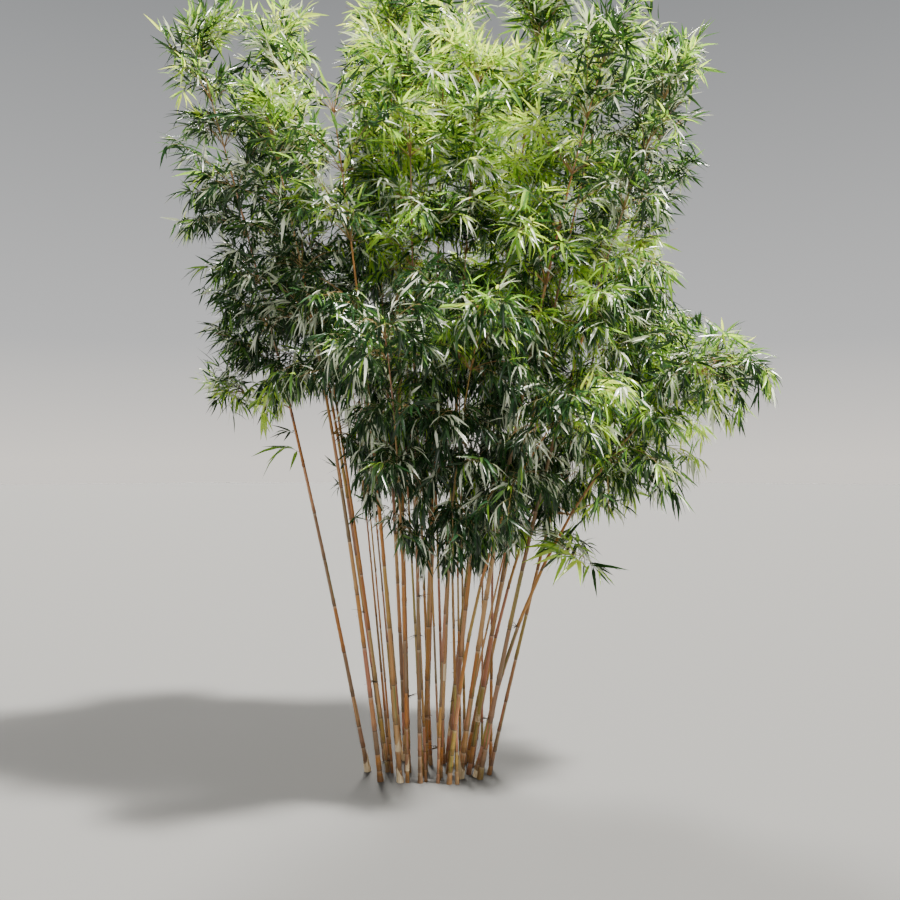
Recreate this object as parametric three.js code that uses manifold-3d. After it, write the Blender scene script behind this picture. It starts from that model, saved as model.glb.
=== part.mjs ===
// A clump of golden-caned bamboo, rooted in the ground: a fan of jointed canes from one narrow foot,
// each ending in a plume of leafy twigs, with two low side boughs. Millimetres, +Z up, +X to the
// viewer's right, +Y away from the viewer. The origin is the middle of the flat cut under the main
// cane, at ground level.

import * as THREE from "three";
import Module from "manifold-3d";
import { mergeVertices } from "three/addons/utils/BufferGeometryUtils.js";

const wasm = await Module();
wasm.setup();

// Rows of canes, from the left end of each row to its right end. Each cane runs from its foot on the
// ground to its tip; rise lifts the middle tips of a row, arch is how early the cane bends over, bare
// is the length of cane below its plume, and twigs is how many the plume grows.
const ROWS = [
  {
    name: "back", canes: 5, radius: 10.5, bare: 1800, rise: 380, arch: 0.06, twigs: 4,
    feet: [[-195, 135], [205, 145]], tips: [[-820, 520, 3050], [900, 560, 2980]],
  },
  {
    name: "middle", canes: 7, radius: 11.5, bare: 1900, rise: 120, arch: 0.05, twigs: 5,
    feet: [[-285, 0], [285, 0]], tips: [[-1010, 60, 3560], [1200, -20, 3330]],
  },
  {
    name: "front", canes: 6, radius: 10.5, bare: 1600, rise: 260, arch: 0.1, twigs: 4,
    feet: [[-230, -110], [225, -125]], tips: [[-620, -470, 2900], [1000, -480, 3150]],
  },
  {
    name: "low_front", canes: 3, radius: 9, bare: 1150, rise: 120, arch: 0.28, twigs: 4,
    feet: [[-120, -185], [160, -190]], tips: [[-90, -790, 1920], [720, -780, 1860]],
  },
  {
    name: "low_right", canes: 2, radius: 9.5, bare: 1350, rise: 0, arch: 0.24, twigs: 4,
    feet: [[275, -75], [255, 85]], tips: [[1380, -260, 1930], [1230, 330, 2180]],
  },
  {
    name: "low_back", canes: 2, radius: 9, bare: 1350, rise: 0, arch: 0.2, twigs: 4,
    feet: [[-110, 215], [120, 220]], tips: [[-520, 690, 2250], [560, 720, 2150]],
  },
];
const MAIN_CANE = "cane_middle_4";
const FOOT_SCATTER = 45;
const TIP_SCATTER = 110;
const TIP_DEPTH_SCATTER = 190;
const RADIUS_SCATTER = 0.24;

// Canes and their joints
const CANE_SIDES = 5;
const TIP_RADIUS = 1.6;
const FOOT_FLARE = 1.35;
const FOOT_FLARE_HEIGHT = 60;
const FIRST_INTERNODE = 55;
const FULL_INTERNODE = 260;
const INTERNODE_GROWTH = 1.45;
const INTERNODE_SCATTER = 0.16;
const JOINT_SWELL = 1.2;
const JOINT_HEIGHT = 14;

// Low side boughs: the cane that carries each, how far up, the way that it heads, its climb, droop and
// length, and the length of its spray's stem
const BOUGHS = [
  {
    name: "low_right", cane: "cane_low_right_1", at: 1090,
    heading: -20, climb: 30, droop: 50, length: 110, spray: 90,
  },
  {
    name: "low_left", cane: "cane_middle_1", at: 1790,
    heading: 186, climb: 30, droop: 40, length: 230, spray: 160,
  },
];
const BOUGH_RADIUS = 3.6;
const BOUGH_TAPER = 0.6;
const BOUGH_RINGS = [0, 0.3, 0.65, 1];
const SPRAY_REACH = 0.8;
const SPRAY_BLADE = 1.2;
const SPRAY_SEED = 115;

// A plume's stem and twigs. Low twigs are long and level, high ones short and steep.
const STEM_SIDES = 4;
const STEM_STEPS = 3;
const TWIG_REACH = 340;
const TWIG_TOP_REACH = 0.5;
const TWIG_CLIMB = [15, 45];
const TWIG_RADIUS = 4;
const TWIG_TAPER = 0.4;
const TWIG_SIDES = 3;
const TWIG_TRIES = 20;

// Blades, each the size of a whole spray of leaves. They stand at shares of their twig or stem, turned
// from its heading, and hang low in the plume's foot and level at its top.
const BLADE_LENGTH = 350;
const BLADE_WIDTH = 82;
const BLADE_THICKNESS = 5;
const BLADE_WIDEST = 0.42;
const BLADE_NECK = 0.3;
const BLADE_HANG = [-65, 0];
const BLADE_ROLL = 100;
const BLADE_TRIES = 8;
const TWIG_BLADES = [[0.97, 0, 1], [0.8, 50, 0.9], [0.62, -50, 0.9], [0.42, 65, 0.9], [0.25, -65, 0.9]];
const TIP_BLADES = [[0.98, 110], [0.965, -110]];
const TIP_BLADE_CLIMB = 45;
const TIP_BLADE_SIZE = 0.8;
const LOWEST_LEAF = 880;

const GAP = 0.3;
const CLEARANCE = 2;
const GOLDEN_ANGLE = 137.5;
const UP = new THREE.Vector3(0, 0, 1);

const LOOKS = {
  cane: { color: 0xc98f45, roughness: 0.4, metalness: 0 },
  bough: { color: 0xb98a48, roughness: 0.5, metalness: 0 },
  plume: { color: 0x4c7a2c, roughness: 0.6, metalness: 0 },
  spray: { color: 0x5f8c34, roughness: 0.6, metalness: 0 },
};

const radians = THREE.MathUtils.degToRad;
const degrees = THREE.MathUtils.radToDeg;
const mix = THREE.MathUtils.lerp;

// Even draws between 0 and 1, always the same ones for a seed.
function dice(seed) {
  let state = (seed * 2654435761) % 4294967296;
  return () => {
    state = (state * 1664525 + 1013904223) % 4294967296;
    return state / 4294967296;
  };
}

// The unit vector that heads round from +X and climbs from the level, both in degrees.
function aim(heading, climb) {
  const level = Math.cos(radians(climb));
  return new THREE.Vector3(
    level * Math.cos(radians(heading)),
    level * Math.sin(radians(heading)),
    Math.sin(radians(climb)),
  );
}

// A cane's line, in one upright plane: steep at its foot, and bending over towards its tip.
function caneLine(foot, tip, arch) {
  const knee = new THREE.Vector3(
    mix(foot.x, tip.x, 0.5 - arch),
    mix(foot.y, tip.y, 0.5 - arch),
    mix(foot.z, tip.z, 0.5 + arch),
  );
  return new THREE.QuadraticBezierCurve3(foot, knee, tip);
}

// A bough's or twig's line, which sets off at its climb and droops towards its tip.
function twigLine(root, heading, climb, droop, length) {
  const knee = root.clone().addScaledVector(aim(heading, climb), length / 2);
  const tip = knee.clone().addScaledVector(aim(heading, climb - droop), length / 2);
  return new THREE.QuadraticBezierCurve3(root, knee, tip);
}

// The point at a share of a line, on the straight chords between the shares that a tube's rings stand
// at.
function chordPoint(line, rings, share) {
  const next = Math.max(1, rings.findIndex(([at]) => at >= share));
  const [[start], [end]] = [rings[next - 1], rings[next]];
  return line.getPointAt(start).lerp(line.getPointAt(end), (share - start) / (end - start));
}

// A closed tube along a line, with a ring at each [share of the line, radius]. A ring on the ground is
// cut level.
function limb(line, rings, sides) {
  const tube = new THREE.CylinderGeometry(1, 1, 1, sides, rings.length - 1);
  const position = tube.getAttribute("position");
  const across = new THREE.Vector3().crossVectors(UP, line.v2.clone().sub(line.v0)).normalize();
  const point = new THREE.Vector3();
  for (let i = 0; i < position.count; i++) {
    const ring = Math.round((position.getY(i) + 0.5) * (rings.length - 1));
    const [share, radius] = rings[ring];
    const centre = line.getPointAt(share);
    const along = centre.z < 1e-6 ? UP : line.getTangentAt(share);
    const outward = new THREE.Vector3().crossVectors(across, along).normalize();
    point
      .copy(centre)
      .addScaledVector(across, position.getX(i) * radius)
      .addScaledVector(outward, position.getZ(i) * radius);
    position.setXYZ(i, point.x, point.y, point.z);
  }
  return tube;
}

// A leaf spray's blade: flat below, with a ridge along its top, pointed at both ends and widest near
// its root.
function blade(root, heading, climb, length, roll) {
  const leaf = new THREE.CylinderGeometry(1, 1, 1, 3, 2);
  const along = aim(heading, climb);
  const across = aim(heading + 90, 0).applyAxisAngle(along, radians(roll));
  const above = new THREE.Vector3().crossVectors(across, along);
  const halfWidth = (BLADE_WIDTH / 2) * (length / BLADE_LENGTH);
  const position = leaf.getAttribute("position");
  const point = new THREE.Vector3();
  for (let i = 0; i < position.count; i++) {
    const isWaist = Math.abs(position.getY(i)) < 0.1;
    const reach = isWaist ? BLADE_WIDEST : position.getY(i) + 0.5;
    const spread = isWaist ? 1 : 0;
    point
      .copy(root)
      .addScaledVector(along, reach * length)
      .addScaledVector(across, spread * position.getX(i) * halfWidth)
      .addScaledVector(above, spread * position.getZ(i) * BLADE_THICKNESS);
    position.setXYZ(i, point.x, point.y, point.z);
  }
  return leaf;
}

// A closed geometry as a solid that can be joined and cut. Triangles that shrink to a point or a line
// are left out.
function solid(geometry) {
  const bare = geometry.clone();
  bare.deleteAttribute("normal");
  bare.deleteAttribute("uv");
  const merged = mergeVertices(bare, 1e-3);
  const triangles = [];
  for (let i = 0; i < merged.index.count; i += 3) {
    const corners = [merged.index.getX(i), merged.index.getX(i + 1), merged.index.getX(i + 2)];
    if (new Set(corners).size === 3) triangles.push(...corners);
  }
  return new wasm.Manifold(
    new wasm.Mesh({
      numProp: 3,
      vertProperties: merged.getAttribute("position").array,
      triVerts: new Uint32Array(triangles),
    }),
  );
}

// A solid's triangles as a named mesh.
function meshOf(name, body, kind) {
  const { vertProperties, triVerts } = body.getMesh();
  const geometry = new THREE.BufferGeometry();
  geometry.setAttribute("position", new THREE.BufferAttribute(new Float32Array(vertProperties), 3));
  geometry.setIndex(new THREE.BufferAttribute(new Uint32Array(triVerts), 1));
  geometry.computeVertexNormals();
  const mesh = new THREE.Mesh(geometry, new THREE.MeshStandardMaterial(LOOKS[kind]));
  mesh.name = name;
  return mesh;
}

// Every cane, with its line, length and the share of it that is bare.
function plantCanes() {
  const canes = [];
  ROWS.forEach((row, rowIndex) => {
    const [leftFoot, rightFoot] = row.feet;
    const [leftTip, rightTip] = row.tips;
    for (let i = 0; i < row.canes; i++) {
      const name = `cane_${row.name}_${i + 1}`;
      const roll = dice(100 * (rowIndex + 1) + i);
      const stray = (size) => (name === MAIN_CANE ? 0 : (2 * roll() - 1) * size);
      const share = i / (row.canes - 1);
      const foot = new THREE.Vector3(
        mix(leftFoot[0], rightFoot[0], share) + stray(FOOT_SCATTER),
        mix(leftFoot[1], rightFoot[1], share) + stray(FOOT_SCATTER),
        0,
      );
      const tip = new THREE.Vector3(
        mix(leftTip[0], rightTip[0], share) + stray(TIP_SCATTER),
        mix(leftTip[1], rightTip[1], share) + stray(TIP_DEPTH_SCATTER),
        mix(leftTip[2], rightTip[2], share) + row.rise * Math.sin(Math.PI * share) + stray(TIP_SCATTER),
      );
      const line = caneLine(foot, tip, row.arch);
      const length = line.getLength();
      canes.push({
        name,
        line,
        length,
        bareShare: row.bare / length,
        pace: 1 + (2 * roll() - 1) * INTERNODE_SCATTER,
        radius: row.radius * (1 + stray(RADIUS_SCATTER)),
        plume: `plume_${row.name}_${i + 1}`,
        twigs: row.twigs,
        seed: canes.length + 1,
      });
    }
  });
  return canes;
}

// A cane's radius at a share of its length, without its joints.
function caneRadius(cane, share) {
  const flare = Math.max(0, 1 - (share * cane.length) / FOOT_FLARE_HEIGHT);
  return mix(cane.radius, TIP_RADIUS, share ** 1.3) * (1 + (FOOT_FLARE - 1) * flare);
}

// The places of a cane's joints below a height, in millimetres from its foot: close together at the
// foot, then further apart, at the cane's own pace.
function jointsOf(pace, height) {
  const joints = [];
  let internode = FIRST_INTERNODE;
  for (let at = internode; at * pace < height; at += internode) {
    joints.push(at * pace);
    internode = Math.min(internode * INTERNODE_GROWTH, FULL_INTERNODE);
  }
  return joints;
}

// The bare part of a cane. Each joint is a raised ring: the cane widens up to it and steps back above
// it.
function caneRings(cane, extra = 0) {
  const rings = [[0, caneRadius(cane, 0) + extra]];
  for (const at of jointsOf(cane.pace, cane.bareShare * cane.length - 2 * JOINT_HEIGHT)) {
    const [joint, above] = [at / cane.length, (at + JOINT_HEIGHT) / cane.length];
    rings.push([joint, caneRadius(cane, joint) * JOINT_SWELL + extra]);
    rings.push([above, caneRadius(cane, above) + extra]);
  }
  rings.push([cane.bareShare, caneRadius(cane, cane.bareShare) + extra]);
  return rings;
}

// The space that solids take, as straight bars with a radius, so that nothing touches another node, and
// a leaf past its neck touches nothing at all.
const bars = [];

function barsAlong(line, from, to, steps, radius) {
  return Array.from({ length: steps }, (_, i) => ({
    run: new THREE.Line3(
      line.getPointAt(mix(from, to, i / steps)),
      line.getPointAt(mix(from, to, (i + 1) / steps)),
    ),
    radius,
  }));
}

function isClear(candidate, owner) {
  return bars.every((bar) => {
    if (bar.owner === owner && !candidate.isLeaf) return true;
    const least = candidate.radius + bar.radius + CLEARANCE;
    return candidate.run.distanceSqToLine3(bar.run) > least * least;
  });
}

const hold = (found, owner) => bars.push(...found.map((bar) => ({ ...bar, owner })));

// Whether a point is nearer to this plume's own stem than to any other.
function isInOwnSpace(point, plume, plumes) {
  const reachTo = (other) => Math.min(...other.stations.map((station) => station.distanceTo(point)));
  const own = reachTo(plume);
  return plumes.every((other) => other === plume || reachTo(other) > own);
}

// A mass of foliage: a stem, twigs that leave it round and round, and blades in fives on the twigs, all
// one solid. Each twig and blade is tried at several angles, and left out where each of them would
// leave the plume's own space or touch another node.
function growPlume(plume, plumes) {
  const { name, line, from, stemRadius, seed, reach, size, twigs } = plume;
  const roll = dice(seed);
  const spread = (range) => (roll() - 0.5) * range;
  const stemRings = Array.from({ length: STEM_STEPS + 1 }, (_, i) => {
    const share = mix(from, 1, i / STEM_STEPS);
    return [share, stemRadius(share)];
  });
  let body = solid(limb(line, stemRings, STEM_SIDES));

  const growBlade = (root, heading, climb, length) => {
    for (let attempt = 0; attempt < BLADE_TRIES; attempt++) {
      const turn = heading + spread(25 + 14 * attempt);
      const tilt = climb + spread(15 + 12 * attempt);
      const end = root.clone().addScaledVector(aim(turn, tilt), length);
      const neck = root.clone().lerp(end, BLADE_NECK);
      const radius = (BLADE_WIDTH * length) / BLADE_LENGTH / 3;
      const found = [
        { run: new THREE.Line3(root, neck), radius },
        { run: new THREE.Line3(neck, end), radius, isLeaf: true },
      ];
      if (end.z < LOWEST_LEAF || !isInOwnSpace(neck, plume, plumes)) continue;
      if (!found.every((bar) => isClear(bar, name))) continue;
      body = body.add(solid(blade(root, turn, tilt, length, spread(BLADE_ROLL))));
      hold(found, name);
      return;
    }
  };

  const growTwig = (root, level, index) => {
    for (let attempt = 0; attempt < TWIG_TRIES; attempt++) {
      const heading = (index + seed + attempt * 0.37) * GOLDEN_ANGLE + spread(30);
      const climb = mix(...TWIG_CLIMB, level) + spread(24);
      const length = reach * mix(1, TWIG_TOP_REACH, level) * (1.15 - 0.035 * attempt - 0.2 * roll());
      const twig = twigLine(root, heading, climb, 0, length);
      const bar = { run: new THREE.Line3(twig.getPointAt(0.1), twig.v2), radius: TWIG_RADIUS };
      if (!isInOwnSpace(twig.getPointAt(0.7), plume, plumes) || !isClear(bar, name)) continue;
      const rings = [[0, TWIG_RADIUS], [1, TWIG_RADIUS * (1 - TWIG_TAPER)]];
      body = body.add(solid(limb(twig, rings, TWIG_SIDES)));
      hold([bar], name);
      for (const [share, turn, part] of TWIG_BLADES) {
        growBlade(twig.getPointAt(share), heading + turn, mix(...BLADE_HANG, level), size * part);
      }
      return;
    }
  };

  for (let i = 0; i < twigs; i++) {
    const level = (i + 0.4) / twigs;
    growTwig(chordPoint(line, stemRings, mix(from, 1, level)), level, i);
  }
  const tipAim = line.getTangentAt(1);
  const tipHeading = degrees(Math.atan2(tipAim.y, tipAim.x));
  const tipClimb = degrees(Math.asin(tipAim.z));
  growBlade(chordPoint(line, stemRings, 0.995), tipHeading, tipClimb - 10, size * TIP_BLADE_SIZE);
  for (const [share, turn] of TIP_BLADES) {
    const root = chordPoint(line, stemRings, share);
    growBlade(root, tipHeading + turn, TIP_BLADE_CLIMB, size * TIP_BLADE_SIZE);
  }
  return body;
}

const clump = new THREE.Group();
const canes = plantCanes();
const plumes = canes.map((cane) => ({
  name: cane.plume,
  kind: "plume",
  line: cane.line,
  from: cane.bareShare + GAP / cane.length,
  stemRadius: (share) => caneRadius(cane, share),
  seed: cane.seed,
  reach: TWIG_REACH,
  size: BLADE_LENGTH,
  twigs: cane.twigs,
}));

for (const cane of canes) {
  clump.add(meshOf(cane.name, solid(limb(cane.line, caneRings(cane), CANE_SIDES)), "cane"));
  hold(barsAlong(cane.line, 0, cane.bareShare, 8, cane.radius * JOINT_SWELL), cane.name);
  hold(barsAlong(cane.line, cane.bareShare, 1, 6, cane.radius), cane.plume);
}

for (const { name, cane: caneName, at, heading, climb, droop, length, spray } of BOUGHS) {
  const cane = canes.find((each) => each.name === caneName);
  const root = cane.line.getPointAt(at / cane.length);
  const line = twigLine(root, heading, climb, droop, length + spray);
  const woodShare = length / (length + spray);
  const radiusAt = (share) => BOUGH_RADIUS * (1 - BOUGH_TAPER * share);
  const rings = BOUGH_RINGS.map((part) => [part * woodShare, radiusAt(part * woodShare)]);
  const seat = solid(limb(cane.line, caneRings(cane, GAP), CANE_SIDES));
  clump.add(meshOf(`bough_${name}`, solid(limb(line, rings, STEM_SIDES)).subtract(seat), "bough"));
  hold(barsAlong(line, 0.1 * woodShare, woodShare, 4, BOUGH_RADIUS), `bough_${name}`);
  plumes.push({
    name: `spray_${name}`,
    kind: "spray",
    line,
    from: woodShare + GAP / line.getLength(),
    stemRadius: radiusAt,
    seed: SPRAY_SEED + plumes.length - canes.length,
    reach: spray * SPRAY_REACH,
    size: spray * SPRAY_BLADE,
    twigs: 1,
  });
}

for (const plume of plumes) {
  plume.stations = Array.from({ length: 9 }, (_, i) => plume.line.getPointAt(mix(plume.from, 1, i / 8)));
}
for (const plume of plumes) {
  clump.add(meshOf(plume.name, growPlume(plume, plumes), plume.kind));
}

export default clump;
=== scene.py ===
# A clump of golden-caned bamboo, rooted in the ground: the looks of its canes, sheaths, branches and
# leaves. Metres, +Z up, in the frame of the CAD model.

import math
import random

import bpy
import numpy as np
from mathutils import Matrix, Vector, noise


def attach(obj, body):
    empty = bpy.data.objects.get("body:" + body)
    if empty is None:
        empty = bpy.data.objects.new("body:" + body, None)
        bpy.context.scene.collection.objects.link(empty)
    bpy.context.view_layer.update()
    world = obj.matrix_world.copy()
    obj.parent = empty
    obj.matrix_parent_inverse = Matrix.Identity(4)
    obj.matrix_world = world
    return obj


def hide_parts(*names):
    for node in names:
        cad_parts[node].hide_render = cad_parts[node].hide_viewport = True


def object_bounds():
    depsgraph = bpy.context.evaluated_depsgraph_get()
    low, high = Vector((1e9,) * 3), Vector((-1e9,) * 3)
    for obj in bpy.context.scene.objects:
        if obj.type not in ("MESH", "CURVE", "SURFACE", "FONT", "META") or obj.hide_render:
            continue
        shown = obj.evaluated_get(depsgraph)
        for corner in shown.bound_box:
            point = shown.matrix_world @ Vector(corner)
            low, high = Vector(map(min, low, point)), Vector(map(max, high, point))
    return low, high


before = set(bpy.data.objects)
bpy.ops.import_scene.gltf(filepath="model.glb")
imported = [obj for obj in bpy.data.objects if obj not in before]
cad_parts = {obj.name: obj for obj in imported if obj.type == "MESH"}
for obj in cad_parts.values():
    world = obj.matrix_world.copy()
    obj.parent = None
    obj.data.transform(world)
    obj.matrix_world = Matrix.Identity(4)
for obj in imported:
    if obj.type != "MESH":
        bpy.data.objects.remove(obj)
cad_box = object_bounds()
bpy.ops.object.select_all(action="DESELECT")

# Rows of canes, from the left end of each row to its right end, as the CAD model plants them. Rise
# lifts the middle tips of a row, arch is how early a cane bends over, and bare is the length of cane
# below its plume.
ROWS = [
    dict(
        name="back", canes=5, radius=0.0105, bare=1.8, rise=0.38, arch=0.06,
        feet=((-0.195, 0.135), (0.205, 0.145)), tips=((-0.82, 0.52, 3.05), (0.9, 0.56, 2.98)),
    ),
    dict(
        name="middle", canes=7, radius=0.0115, bare=1.9, rise=0.12, arch=0.05,
        feet=((-0.285, 0), (0.285, 0)), tips=((-1.01, 0.06, 3.56), (1.2, -0.02, 3.33)),
    ),
    dict(
        name="front", canes=6, radius=0.0105, bare=1.6, rise=0.26, arch=0.1,
        feet=((-0.23, -0.11), (0.225, -0.125)), tips=((-0.62, -0.47, 2.9), (1, -0.48, 3.15)),
    ),
    dict(
        name="low_front", canes=3, radius=0.009, bare=1.15, rise=0.12, arch=0.28,
        feet=((-0.12, -0.185), (0.16, -0.19)), tips=((-0.09, -0.79, 1.92), (0.72, -0.78, 1.86)),
    ),
    dict(
        name="low_right", canes=2, radius=0.0095, bare=1.35, rise=0, arch=0.24,
        feet=((0.275, -0.075), (0.255, 0.085)), tips=((1.38, -0.26, 1.93), (1.23, 0.33, 2.18)),
    ),
    dict(
        name="low_back", canes=2, radius=0.009, bare=1.35, rise=0, arch=0.2,
        feet=((-0.11, 0.215), (0.12, 0.22)), tips=((-0.52, 0.69, 2.25), (0.56, 0.72, 2.15)),
    ),
]

# What all canes share: how much they stray, except the main one, how they flare and taper, and how their
# joints are spaced. The last joint stays so far below the tip.
MAIN_CANE = "middle_4"
FOOT_SCATTER = 0.045
TIP_SCATTER = 0.11
TIP_DEPTH_SCATTER = 0.19
RADIUS_SCATTER = 0.24
TIP_RADIUS = 0.0016
TAPER = 1.3
FOOT_FLARE = 1.35
FOOT_FLARE_HEIGHT = 0.06
FIRST_INTERNODE = 0.055
FULL_INTERNODE = 0.26
INTERNODE_GROWTH = 1.45
INTERNODE_SCATTER = 0.16
JOINTLESS_TIP = 0.03

# The low side boughs: the cane that carries each, how far up, the way that it heads, its climb, droop
# and length, and the length of its spray's stem. Then the spray: the branches at each of its joints and
# their reach, how much its leaves hang, and how large they are.
BOUGHS = [
    dict(
        name="low_right", cane="low_right_1", at=1.09,
        heading=-20, climb=30, droop=50, length=0.11, spray=0.09,
        fan=[(25, 1.0), (-35, 0.8)], reach=(0.135, 0.1), hang=(0.25, 0.2), leaf_size=1.45,
    ),
    dict(
        name="low_left", cane="middle_1", at=1.79,
        heading=186, climb=30, droop=40, length=0.23, spray=0.16,
        fan=[(20, 1.0), (-35, 0.85), (75, 0.7), (-95, 0.6)],
        reach=(0.16, 0.12), hang=(0.06, 0), leaf_size=1,
    ),
]
BOUGH_RADIUS = 0.0036
BOUGH_TAPER = 0.6
SPRAY_CLIMB = (26, 22)
SPRAY_DROOP = (24, 20)
SPRAY_SEED = 40

# Thin young canes that cross among the others and end inside the crown. Each is drawn anew, up to so
# many times, until it keeps clear of all that stand, by so many times their radii, at heights a step apart.
THIN_ROW = dict(
    name="thin", canes=14, radius=0.0068, bare=3, rise=0.35, arch=0.04, scatter=(0.16, 0.42),
    feet=((-0.22, -0.02), (0.22, -0.02)), tips=((-0.6, 0.02, 2.05), (0.72, 0.02, 1.95)),
)
THIN_TRIES = 60
CLEARANCE = 1.35
CLEARANCE_STEP = 0.01

# How the branches of each row grow, at the foot of its plumes and at their tips: reach, climb, droop, and
# how much their leaves hang
GROWTH = {
    "back": dict(reach=(0.74, 0.36), climb=(26, 60), droop=(70, 34), hang=(0.32, 0.12)),
    "middle": dict(reach=(0.57, 0.29), climb=(26, 62), droop=(68, 34), hang=(0.32, 0.1)),
    "front": dict(reach=(0.58, 0.3), climb=(24, 58), droop=(76, 36), hang=(0.36, 0.14)),
    "low_front": dict(reach=(0.46, 0.28), climb=(18, 40), droop=(88, 60), hang=(0.62, 0.45)),
    "low_right": dict(reach=(0.66, 0.38), climb=(14, 26), droop=(82, 70), hang=(0.3, 0.18)),
    "low_back": dict(reach=(0.68, 0.36), climb=(20, 46), droop=(80, 50), hang=(0.45, 0.3)),
}

# The crown's outline as the camera sees it. Its sides are heights with how far it reaches there to the
# left and to the right, and its hem is places from left to right with the lowest leaves there. Its front
# stays a little behind that of the CAD model's box, and leaves may pass the box by the slack.
LEFT_EDGE = [
    (1.3, -0.45), (1.55, -0.7), (1.7, -0.95), (2.05, -1.03), (2.4, -1.17), (2.8, -1.28), (3.8, -1.33),
]
RIGHT_EDGE = [
    (1.0, 0.66), (1.3, 1.2), (1.6, 1.5), (1.85, 1.7), (2.1, 1.66), (2.28, 1.28), (2.5, 1.16),
    (2.8, 1.28), (3.2, 1.38), (3.8, 1.3),
]
HEM = [
    (-1.1, 1.75), (-0.72, 1.68), (-0.6, 1.86), (-0.43, 1.83), (-0.33, 1.34), (-0.12, 1.08), (0.05, 0.94),
    (0.4, 0.92), (0.52, 1.18), (1.2, 1.32), (1.45, 1.45), (1.7, 1.8),
]
FRONT_DEPTH = 0.07
LEAF_SLACK = 0.07

# The gap between the left plumes and the rest: its place from left to right, the height of its foot, and
# how much it widens for each metre up
GAP_PLACE = -0.47
GAP_FOOT = 2.6
GAP_SPREAD = 0.1

# The parts where the crown is thinner: place from left to right, height, how far that part reaches, and
# the share of twigs that it lacks
THIN_PARTS = [(1.05, 3.1, 0.45, 0.5), (-0.85, 3.5, 0.35, 0.3), (0.1, 3.7, 0.4, 0.3)]

# The master cane: its sides, how far it starts below the ground, the joints that its map keeps for each
# cane, and the profile of one joint, as height from the joint and share of the cane's radius
CANE_SIDES = 14
SUNK = 0.03
MASTER_LENGTH = 4.6
JOINTS_A_CANE = 100
JOINT_PROFILE = [
    (-0.028, 1.0), (-0.008, 1.03), (-0.0025, 1.08), (-0.001, 1.17), (0.001, 1.16),
    (0.0028, 1.06), (0.007, 1.13), (0.013, 1.06), (0.024, 1.0),
]

# Branches. Each joint above the bare length grows a fan of them, as turn from the joint's heading and
# share of the full length. Low ones are long and level, high ones short and steep. The first fan may grow
# a little below the bare length, and the last grows near the tip, at its share of the stem. A branch has
# joints too, one in so many steps.
GOLDEN_ANGLE = 137.5
BRANCH_FAN = [(0, 1.0), (-62, 0.84), (57, 0.72), (-118, 0.62), (112, 0.54), (176, 0.44), (28, 0.9)]
RICH_FAN = [*BRANCH_FAN, (-30, 0.95), (150, 0.8), (-150, 0.7)]
BELOW_BARE = 0.05
LAST_FAN = 0.985
LAST_SPRAY_FAN = 0.98
BRANCH_TURN_SCATTER = 20
BRANCH_CLIMB_SCATTER = 26
BRANCH_LENGTH_SCATTER = (0.75, 1.18)
BRANCH_DROOP_SCATTER = (0.5, 1.3)
BRANCH_RADIUS = 0.0032
BRANCH_THINNING = 0.6
BRANCH_TIP = 0.3
BRANCH_JOINT = 1.25
STEPS_A_JOINT = 3
BRANCH_SIDES = 5
BRANCH_STEPS = 8

# A branch that doesn't fit is tried again, each time turned on and shorter. It fits where its tip is
# inside the crown's outline, with a slack, and a place most of the way along it is nearest to its own
# stem, out of so many spots on each stem.
TRIES = 8
TRY_TURN = 0.37
TRY_SHRINK = 0.06
BRANCH_SLACK = 0.03
OWN_SHARE = 0.8
STEM_SPOTS = 12

# Side twigs, from their first share of the branch to its tip. They shrink towards it, and how far each
# may pass the crown's outline is drawn anew.
FIRST_TWIG = 0.28
TWIG_SPACING = 0.021
TWIG_PLACE_SCATTER = 0.02
TWIG_LENGTH = 0.115
TWIG_SHRINK = (1.15, 0.7)
TWIG_LENGTH_SCATTER = (0.6, 1.25)
TWIG_TURN = 52
TWIG_TURN_SCATTER = 22
TWIG_CLIMB_SCATTER = (-26, 52)
TWIG_DROOP = (46, 18)
TWIG_SLACK = (-0.08, 0.03)
TWIG_RADIUS = 0.0011
TWIG_TIP = 0.45
TWIG_SIDES = 3
TWIG_STEPS = 2

# Leaves: their count, where on the twig they start, their size, how they swell along a part of a wave, how
# they turn from the twig at its foot and at its tip, how far each hangs, strays, spins and curls, and how
# far a whole spray tilts. The spray at a branch's tip is larger. Then the master leaf: its fold, and its
# rows, as the place where each starts on a grid, its place on the leaf and its share of the full width.
LEAVES_A_TWIG = (7, 10)
LEAF_START = 0.2
LEAF_LENGTH = 0.086
LEAF_LENGTH_SCATTER = (0.7, 1.28)
LEAF_SWELL = (0.72, 1.14)
LEAF_SWELL_PART = (0.12, 0.8)
LEAF_WIDTH = 0.0102
LEAF_TURN = (74, 4)
LEAF_TURN_EASE = 0.8
LEAF_TURN_SCATTER = 18
LEAF_HANG_SCATTER = (0.3, 1.5)
LEAF_STRAY = 0.5
LEAF_SPIN = 36
LEAF_CURL = (0.15, 0.55)
LEAF_CURL_BY_HANG = 0.5
SPRAY_TILT = 38
TIP_LEAF_SIZE = 1.15
LEAF_FOLD = 0.35
LEAF_ROWS = [(0, 0, 0), (1 / 3, 0.2, 0.97), (2 / 3, 0.56, 0.72), (1, 1, 0)]

# The short shoots that end a cane: their turns, from the tip down, the share of the stem at which the top
# one stands, how far apart they are, how they grow, and the leaves on each
LEADER_TURNS = (0, 140, -110, 30, 180, -60, 95)
LEADER_TOP = 0.995
LEADER_SPACING = 0.05
LEADER_SHOOT = 0.06
LEADER_CLIMB = 50
LEADER_DROOP = 20
LEADER_HANG = -0.1
LEADER_LEAF_SIZE = 1.25
LEAVES_A_SHOOT = 4

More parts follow.
